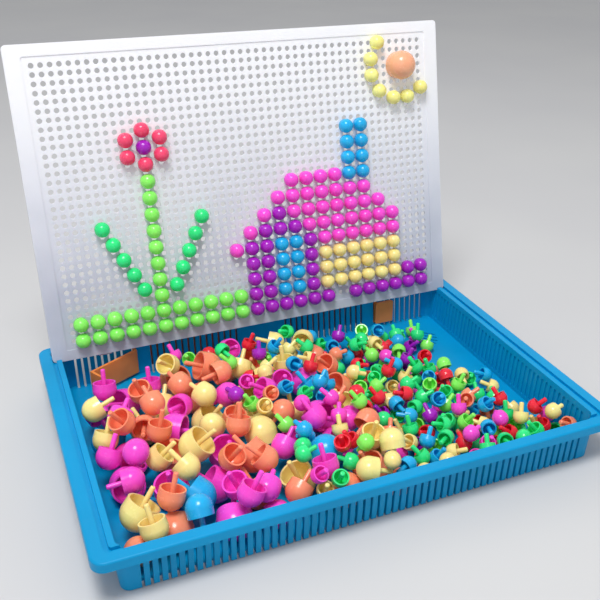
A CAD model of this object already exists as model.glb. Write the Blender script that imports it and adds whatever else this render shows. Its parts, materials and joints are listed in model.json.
import json
import math

import bpy
from mathutils import Matrix, Vector


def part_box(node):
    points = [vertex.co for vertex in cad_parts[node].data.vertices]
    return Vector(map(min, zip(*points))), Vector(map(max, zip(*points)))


# Looks of the mushroom-peg mosaic set: procedural moulded-plastic materials on the
# CAD nodes, a pale floor, soft studio light and the camera. Metres throughout.

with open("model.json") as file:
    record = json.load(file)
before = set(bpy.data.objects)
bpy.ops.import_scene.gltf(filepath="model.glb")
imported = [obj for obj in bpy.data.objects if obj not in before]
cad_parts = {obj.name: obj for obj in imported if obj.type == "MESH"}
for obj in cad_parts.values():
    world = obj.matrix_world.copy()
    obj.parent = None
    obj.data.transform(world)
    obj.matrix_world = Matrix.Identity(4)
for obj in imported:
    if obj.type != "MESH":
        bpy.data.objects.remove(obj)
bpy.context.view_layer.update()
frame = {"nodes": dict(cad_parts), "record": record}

MM = 0.001

# ---------------------------------------------------------------- camera
CAMERA_PLACE = (-163.9 * MM, -397.4 * MM, 301.0 * MM)
CAMERA_HEADING = 24.02      # degrees from +Y towards +X
CAMERA_DOWN = 26.11         # degrees below the horizon
CAMERA_ROLL = 0.75
CAMERA_LENS = 50.74
CAMERA_SENSOR = 36.0
CAMERA_SHIFT = (-0.0563, -0.0192)
CAMERA_CLIP = (0.01, 20.0)

# ---------------------------------------------------------------- stage and light, metres and watts
FLOOR_HALF = 6.0
FLOOR_TONES = ((0.58, 0.58, 0.59, 1.0), (0.61, 0.61, 0.61, 1.0))
SKY_TONE = (0.97, 0.98, 1.0, 1.0)
SKY_STRENGTH = 0.55
# name: (place, point aimed at, width and height, power)
SOFTBOXES = {
    "key": ((-0.25, -0.35, 1.25), (0, 0, 0.05), (0.42, 0.42), 12.0),
    "front": ((-0.70, -1.20, 0.70), (0, 0.08, 0.12), (0.7, 0.5), 0.9),
    "back": ((0.25, 0.80, 0.90), (0, 0.05, 0.05), (0.8, 0.5), 0.8),
}

# the stretch of a noise's values that is used, clamped at both ends
NOISE_LOW = 0.3
NOISE_HIGH = 0.7

# ---------------------------------------------------------------- colours, sRGB 0 to 255
TRAY_BLUE = (2, 148, 203)
BOARD_WHITE = (249, 250, 255)
BOARD_FOOT = (173, 180, 196)
STRAP_ORANGE = (238, 138, 66)
PEG_COLOURS = {
    "rose": (246, 72, 112),
    "purple": (162, 28, 184),
    "lime": (134, 240, 98),
    "green": (40, 222, 128),
    "pink": (255, 74, 202),
    "blue": (22, 168, 224),
    "yellow": (255, 222, 142),
    "ray_yellow": (255, 240, 142),
    "orange": (255, 142, 108),
    "sun_orange": (255, 176, 138),
    "red": (232, 36, 58),
}


def linear(colour):
    out = []
    for value in colour:
        s = value / 255
        out.append(s / 12.92 if s <= 0.04045 else ((s + 0.055) / 1.055) ** 2.4)
    return (*out, 1.0)


# ================================================================ materials
class Shader:
    """One procedural plastic, built node by node on the object's own coordinates."""

    def __init__(self, name):
        self.material = bpy.data.materials.new(name)
        self.material.use_nodes = True
        self.tree = self.material.node_tree
        self.surface = self.tree.nodes["Principled BSDF"]
        self.place = self.node("ShaderNodeTexCoord").outputs["Object"]

    def node(self, kind, **settings):
        made = self.tree.nodes.new(kind)
        for key, value in settings.items():
            setattr(made, key, value)
        return made

    def link(self, output, socket):
        self.tree.links.new(output, socket)

    def noise(self, size, detail):
        # size is the width of one feature, in metres
        made = self.node("ShaderNodeTexNoise")
        made.inputs["Scale"].default_value = 1.0 / size
        made.inputs["Detail"].default_value = detail
        self.link(self.place, made.inputs["Vector"])
        return made.outputs["Fac"]

    def between(self, factor, low, high):
        # stretches a noise over a range of numbers
        made = self.node("ShaderNodeMapRange")
        made.inputs["From Min"].default_value = NOISE_LOW
        made.inputs["From Max"].default_value = NOISE_HIGH
        made.inputs["To Min"].default_value = low
        made.inputs["To Max"].default_value = high
        self.link(factor, made.inputs["Value"])
        return made.outputs["Result"]

    def blend(self, factor, first, second):
        made = self.node("ShaderNodeMix", data_type="RGBA")
        self.link(factor, made.inputs["Factor"])
        for socket, value in (("A", first), ("B", second)):
            target = next(s for s in made.inputs if s.name == socket and s.type == "RGBA")
            if isinstance(value, tuple):
                target.default_value = value
            else:
                self.link(value, target)
        return next(s for s in made.outputs if s.type == "RGBA")

    def value(self, socket, number):
        self.surface.inputs[socket].default_value = number

    def tone(self, base, size, detail, low, high):
        # the colour drifts between two shades of the base colour
        drift = self.between(self.noise(size, detail), 0.0, 1.0)
        drifting = self.blend(drift, shade(base, low), shade(base, high))
        self.link(drifting, self.surface.inputs["Base Color"])

    def gloss(self, size, detail, low, high):
        # the roughness varies between two values
        self.link(self.between(self.noise(size, detail), low, high), self.surface.inputs["Roughness"])

    def grain(self, size, detail, depth):
        # a fine relief, whose depth is in metres
        made = self.node("ShaderNodeBump")
        made.inputs["Strength"].default_value = 1.0
        made.inputs["Distance"].default_value = depth
        self.link(self.noise(size, detail), made.inputs["Height"])
        self.link(made.outputs["Normal"], self.surface.inputs["Normal"])

    def milky(self, weight, depth, radius=None):
        # light scattered inside the plastic, down to a depth in metres
        self.value("Subsurface Weight", weight)
        self.value("Subsurface Scale", depth)
        if radius:
            self.value("Subsurface Radius", radius)


def shade(colour, factor):
    return (*(min(1.0, channel * factor) for channel in colour[:3]), 1.0)


def peg_plastic(name, colour):
    # soft glossy polyethylene: a little light goes through it, and its tone drifts over the pegs
    s = Shader("peg_" + name)
    base = linear(colour)
    s.tone(base, size=14 * MM, detail=1.0, low=0.99, high=1.18)
    s.gloss(size=2.5 * MM, detail=3.0, low=0.16, high=0.30)
    s.grain(size=1.6 * MM, detail=3.0, depth=0.03 * MM)
    s.milky(weight=0.35, depth=2.0 * MM, radius=tuple(0.4 + 0.6 * channel for channel in base[:3]))
    s.value("IOR", 1.51)
    return s.material


def tray_plastic():
    # satin blue polypropylene with a fine moulded grain and faint flow marks
    s = Shader("tray_blue")
    s.tone(linear(TRAY_BLUE), size=60 * MM, detail=2.0, low=0.92, high=1.08)
    s.gloss(size=6 * MM, detail=4.0, low=0.30, high=0.44)
    s.grain(size=0.9 * MM, detail=2.0, depth=0.02 * MM)
    s.milky(weight=0.08, depth=1.5 * MM, radius=(0.3, 0.7, 1.0))
    s.value("Specular IOR Level", 0.22)
    s.value("IOR", 1.49)
    return s.material


def board_plastic():
    # milky white sheet, cooler and darker towards the foot, with faint clouds
    s = Shader("board_white")
    low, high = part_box("pegboard")
    split = s.node("ShaderNodeSeparateXYZ")
    s.link(s.place, split.inputs["Vector"])
    rise = s.node("ShaderNodeMapRange", interpolation_type="SMOOTHSTEP")
    rise.inputs["From Min"].default_value = low.z
    rise.inputs["From Max"].default_value = high.z
    s.link(split.outputs["Z"], rise.inputs["Value"])
    tone = s.blend(rise.outputs["Result"], linear(BOARD_FOOT), linear(BOARD_WHITE))
    cloud = s.between(s.noise(45 * MM, detail=2.0), 0.0, 0.3)
    s.link(s.blend(cloud, tone, linear(BOARD_WHITE)), s.surface.inputs["Base Color"])
    s.gloss(size=5 * MM, detail=4.0, low=0.34, high=0.48)
    s.grain(size=1.1 * MM, detail=2.0, depth=0.02 * MM)
    s.milky(weight=0.30, depth=2.5 * MM, radius=(0.9, 0.9, 1.0))
    s.value("IOR", 1.49)
    return s.material


def strap_plastic():
    # flexible orange band, duller than the pegs
    s = Shader("handle_orange")
    s.tone(linear(STRAP_ORANGE), size=18 * MM, detail=2.0, low=0.85, high=1.10)
    s.gloss(size=3 * MM, detail=3.0, low=0.36, high=0.52)
    s.grain(size=0.8 * MM, detail=2.0, depth=0.03 * MM)
    s.milky(weight=0.15, depth=1.5 * MM)
    s.value("IOR", 1.48)
    return s.material


def floor_paper():
    # matt pale paper
    s = Shader("studio_floor")
    pale = s.between(s.noise(250 * MM, detail=2.0), 0.0, 1.0)
    s.link(s.blend(pale, *FLOOR_TONES), s.surface.inputs["Base Color"])
    s.value("Roughness", 0.85)
    return s.material


def dress(node, material):
    data = frame["nodes"][node].data
    data.materials.clear()
    data.materials.append(material)


materials = {"peg_" + name: peg_plastic(name, colour) for name, colour in PEG_COLOURS.items()}
materials["tray_blue"] = tray_plastic()
materials["board_white"] = board_plastic()
materials["handle_orange"] = strap_plastic()
for entry in frame["record"]["subparts"]:
    dress(entry["node"], materials[entry["material_slot"]])


# ================================================================ stage, light, camera
def floor():
    half = FLOOR_HALF
    mesh = bpy.data.meshes.new("floor")
    corners = [(-half, -half, 0), (half, -half, 0), (half, half, 0), (-half, half, 0)]
    mesh.from_pydata(corners, [], [(0, 1, 2, 3)])
    made = bpy.data.objects.new("floor", mesh)
    made.data.materials.append(floor_paper())
    bpy.context.scene.collection.objects.link(made)


def softbox(name, place, aim, size, watts):
    data = bpy.data.lights.new(name, "AREA")
    data.shape = "RECTANGLE"
    data.size, data.size_y = size
    data.energy = watts
    lamp = bpy.data.objects.new(name, data)
    lamp.location = place
    lamp.rotation_euler = (Vector(aim) - Vector(place)).to_track_quat("-Z", "Y").to_euler()
    bpy.context.scene.collection.objects.link(lamp)


def sky():
    world = bpy.data.worlds.new("studio")
    world.use_nodes = True
    glow = world.node_tree.nodes["Background"]
    glow.inputs["Color"].default_value = SKY_TONE
    glow.inputs["Strength"].default_value = SKY_STRENGTH
    bpy.context.scene.world = world
    # plain colour handling, so that the vivid plastics keep their saturation
    bpy.context.scene.view_settings.view_transform = "Standard"


def camera():
    data = bpy.data.cameras.new("camera")
    data.lens = CAMERA_LENS
    data.sensor_width = CAMERA_SENSOR
    data.shift_x, data.shift_y = CAMERA_SHIFT
    data.clip_start, data.clip_end = CAMERA_CLIP
    made = bpy.data.objects.new("camera", data)
    heading, down = math.radians(CAMERA_HEADING), math.radians(CAMERA_DOWN)
    flat = math.cos(down)
    ahead = Vector((flat * math.sin(heading), flat * math.cos(heading), -math.sin(down)))
    right = ahead.cross(Vector((0, 0, 1))).normalized()
    right = Matrix.Rotation(math.radians(-CAMERA_ROLL), 3, ahead) @ right
    up = right.cross(ahead)
    turn = Matrix((right, up, -ahead)).transposed().to_4x4()
    made.matrix_world = Matrix.Translation(Vector(CAMERA_PLACE)) @ turn
    bpy.context.scene.collection.objects.link(made)
    bpy.context.scene.camera = made


floor()
sky()
for name, setting in SOFTBOXES.items():
    softbox(name, *setting)
camera()
